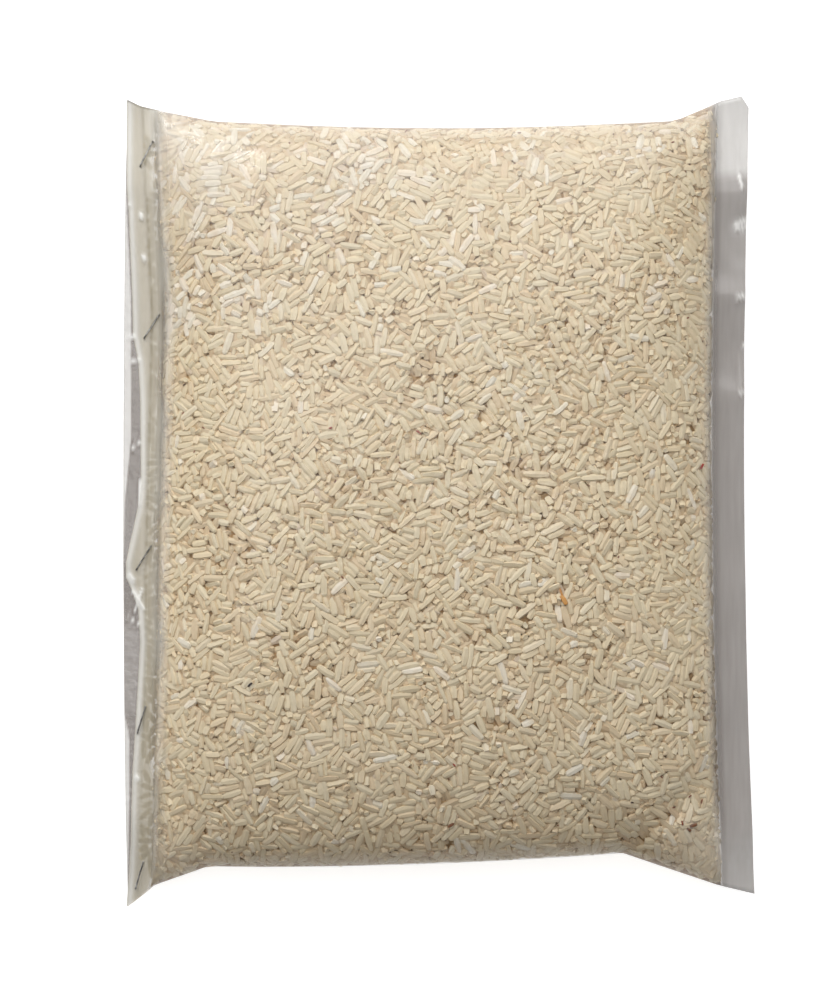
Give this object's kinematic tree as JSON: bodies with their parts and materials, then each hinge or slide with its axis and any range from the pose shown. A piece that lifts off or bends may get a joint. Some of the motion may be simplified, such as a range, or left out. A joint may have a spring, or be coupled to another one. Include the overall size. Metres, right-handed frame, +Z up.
{
  "type": "bag of rice",
  "caption": "Clear plastic bag filled with long-grain rice, lying flat, with a heat-sealed end and a folded, stapled mouth.",
  "frame": {"origin": "on the table under the middle of the bag", "axes": "+X from the folded and stapled mouth to the heat-sealed end, +Y along the longer side of the bag, +Z up from the table"},
  "size_m": [0.1968, 0.2524, 0.0405],
  "materials": {
    "filled_film": "clear glossy polyethylene film tight over pale long-grain rice",
    "film": "thin clear polyethylene film, glossy, slightly hazy where it lies in layers",
    "rice": "dry polished long-grain rice, satin, slightly translucent",
    "staple_wire": "galvanised steel wire, bright drawn"
  },
  "bodies": {
    "root": {"bag": "filled_film", "staple_1": "staple_wire", "staple_2": "staple_wire", "staple_3": "staple_wire", "staple_4": "staple_wire", "staple_5": "staple_wire"}
  },
  "joints": []
}
